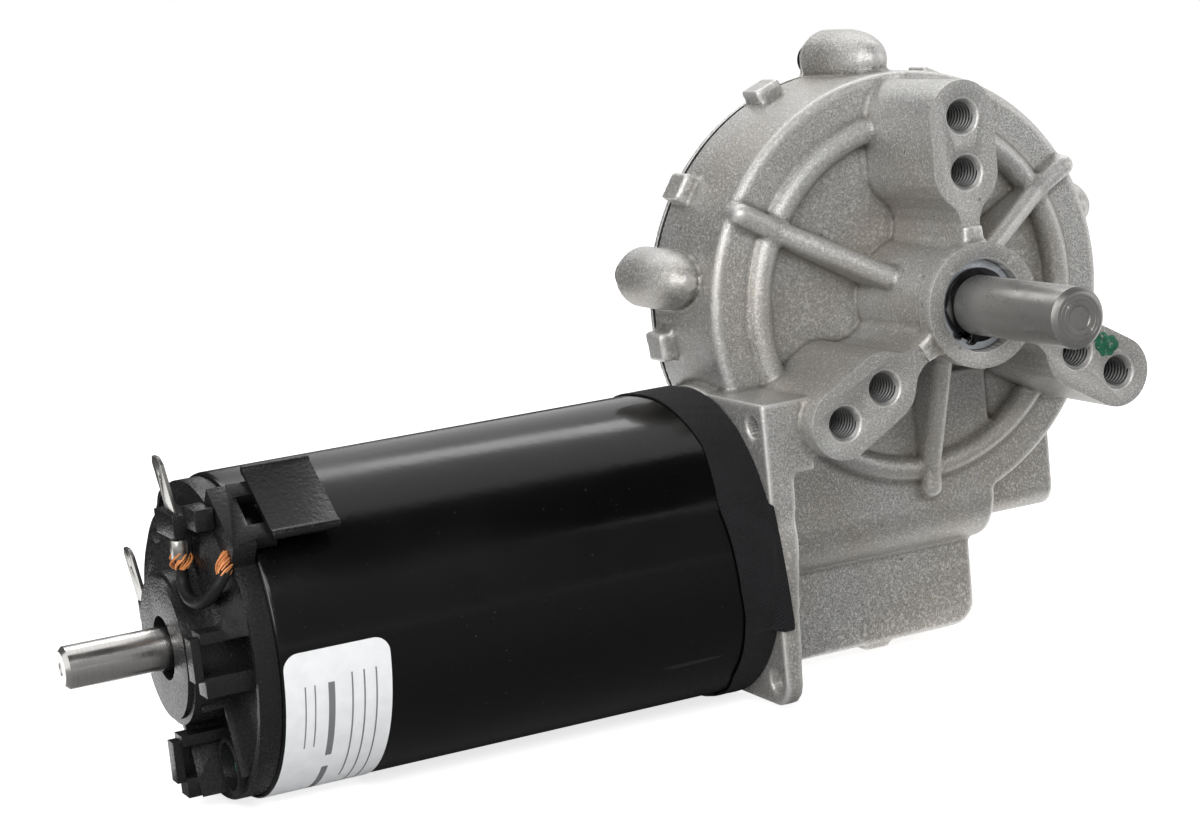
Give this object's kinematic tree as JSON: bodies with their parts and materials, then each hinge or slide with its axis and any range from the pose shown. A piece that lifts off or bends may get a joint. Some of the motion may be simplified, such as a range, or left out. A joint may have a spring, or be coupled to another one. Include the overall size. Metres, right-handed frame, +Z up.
{
  "type": "dc gear motor",
  "caption": "Right-angle dc gear motor: ribbed die-cast worm housing with mounting arms, steel output shaft, black can motor with a rear shaft end, terminals and thermal switch.",
  "frame": {"origin": "on the output shaft's axis, in the plane of the three machined mounting pads", "axes": "-Y along the output shaft towards its free end, +X along the motor towards the gears, +Z up from the motor to the output shaft"},
  "size_m": [0.2784, 0.1208, 0.154],
  "materials": {
    "cast_alloy": "satin",
    "black_rubber": "matte",
    "black_steel": "satin",
    "bronze": "satin",
    "zinc_plate": "polished",
    "gloss_black": "gloss",
    "magnet_grey": "matte",
    "cloth_tape": "matte",
    "white_label": "matte",
    "bright_steel": "polished",
    "black_plastic": "satin",
    "brown_board": "matte",
    "brass_sheet": "satin",
    "carbon": "matte",
    "tin_plate": "satin",
    "cable_black": "satin",
    "dark_metal": "satin",
    "turned_steel": "satin",
    "wheel_nylon": "satin",
    "core_steel": "matte",
    "enamel_wire": "gloss",
    "copper_bars": "satin"
  },
  "bodies": {
    "housing": {"gear_housing": "cast_alloy", "rear_cover": "cast_alloy", "cover_gasket": "black_rubber", "cover_screws": "black_steel", "front_bush": "bronze", "rear_bush": "bronze", "hub_washer": "zinc_plate", "motor_can": "gloss_black", "field_magnets": "magnet_grey", "seal_band": "cloth_tape", "rating_label": "white_label", "front_bearing": "bright_steel", "worm_end_bush": "bronze", "rear_bearing": "bright_steel", "rear_cap": "black_plastic", "tie_bolts": "bright_steel", "brush_plate": "brown_board", "brush_holders": "brass_sheet", "carbon_brushes": "carbon", "brush_springs": "bright_steel", "terminal_block": "black_plastic", "blade_terminals": "tin_plate", "crimp_ferrule": "tin_plate", "switch_lead": "cable_black", "switch_bracket": "black_plastic", "thermal_switch": "dark_metal", "switch_cover": "dark_metal"},
    "output": {"output_shaft": "turned_steel", "wheel_hub": "turned_steel", "worm_wheel": "wheel_nylon", "shaft_circlip": "black_steel", "thrust_washer": "bronze"},
    "armature": {"armature_shaft": "bright_steel", "worm": "bright_steel", "armature_core": "core_steel", "armature_windings": "enamel_wire", "commutator": "copper_bars"}
  },
  "joints": [
    {"name": "armature_spin", "type": "hinge", "parent": "housing", "child": "armature", "pos_m": [-0.1, 0.042, -0.0515], "axis": [1, 0, 0], "continuous": true},
    {"name": "output_spin", "type": "hinge", "parent": "housing", "child": "output", "pos_m": [0, 0, 0], "axis": [0, 1, 0], "continuous": true}
  ],
  "couplings": [
    {"joint": "output_spin", "follows": "armature_spin", "ratio": 0.023256}
  ]
}
